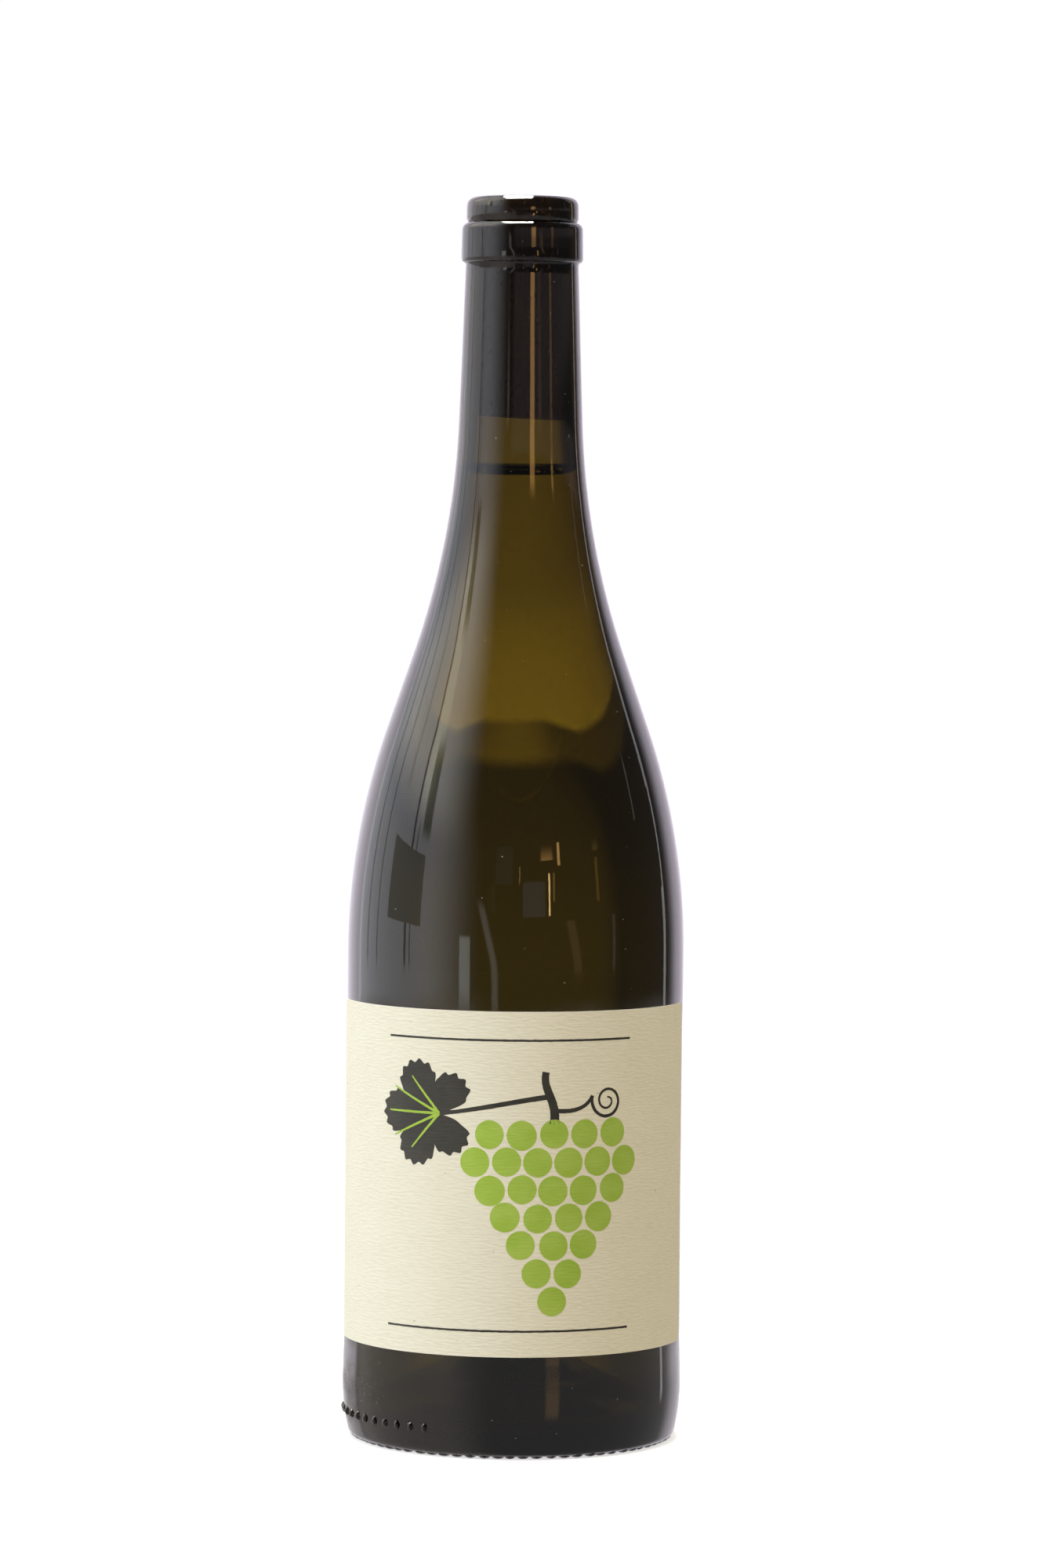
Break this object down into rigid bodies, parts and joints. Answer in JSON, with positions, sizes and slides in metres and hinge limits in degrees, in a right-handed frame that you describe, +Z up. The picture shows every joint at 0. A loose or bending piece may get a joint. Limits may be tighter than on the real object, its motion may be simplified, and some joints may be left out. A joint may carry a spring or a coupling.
{
  "type": "wine bottle",
  "caption": "Burgundy-shaped dark olive glass wine bottle, filled with wine and closed with a cork, with a plain paper label round its front.",
  "frame": {"origin": "middle of the foot, on the plane that the bottle stands on", "axes": "+Z up along the bottle towards the cork; the label faces -Y; +X to the right as the label is seen"},
  "size_m": [0.0813, 0.0812, 0.296],
  "materials": {
    "bottle_glass": "clear dark olive-amber glass, glossy, with slight waviness from the mould",
    "cork": "natural cork with dark pores, matt",
    "wine": "clear pale wine",
    "label_paper": "uncoated cream felt-marked paper, printed in lime green and black"
  },
  "bodies": {
    "root": {"bottle": "bottle_glass", "cork": "cork", "wine": "wine", "front_label": "label_paper"}
  },
  "joints": []
}
